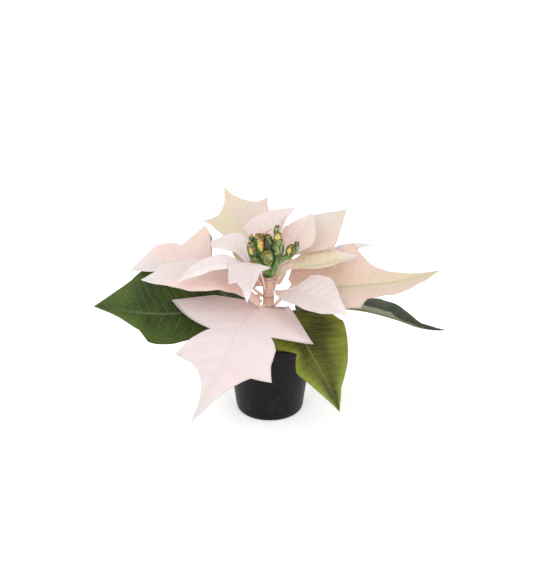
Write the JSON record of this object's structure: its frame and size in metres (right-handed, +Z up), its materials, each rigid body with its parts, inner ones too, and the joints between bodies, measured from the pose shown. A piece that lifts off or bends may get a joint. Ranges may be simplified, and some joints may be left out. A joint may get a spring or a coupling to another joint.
{
  "type": "potted poinsettia",
  "caption": "Small flowering poinsettia with pale pink bracts and dark green leaves on one upright stem, standing in a round tapered nursery pot.",
  "frame": {"origin": "centre of the pot's flat underside", "axes": "+Z up along the pot's axis; the plant's front, with its largest bract, faces -Y; +X is to the right seen from the front"},
  "size_m": [0.2551, 0.1904, 0.1471],
  "materials": {
    "pot_plastic": "black moulded plastic, slightly satin",
    "soil": "moist crumbly potting soil",
    "stem": "rose-brown skin above, greenish brown and woody below",
    "cyathia": "waxy green cups, yellow glands, red tips",
    "bract": "soft matt pink bract with fine veins",
    "leaf": "dark green leaf, slight sheen, paler veins and margin"
  },
  "bodies": {
    "root": {"pot": "pot_plastic", "soil": "soil", "stem": "stem", "cyathia": "cyathia", "bract_front_left": "bract", "bract_right": "bract", "bract_front_right": "bract", "bract_back_right": "bract", "bract_small_right": "bract", "bract_back_left": "bract", "bract_small_back": "bract", "bract_small_left_back": "bract", "bract_left_back": "bract", "bract_left": "bract", "bract_small_left": "bract", "bract_small_front": "bract", "bract_small_back_right": "bract", "bract_slim_right": "bract", "leaf_left": "leaf", "leaf_front": "leaf", "leaf_right": "leaf", "leaf_back_right": "leaf", "leaf_back_left": "leaf"}
  },
  "joints": []
}
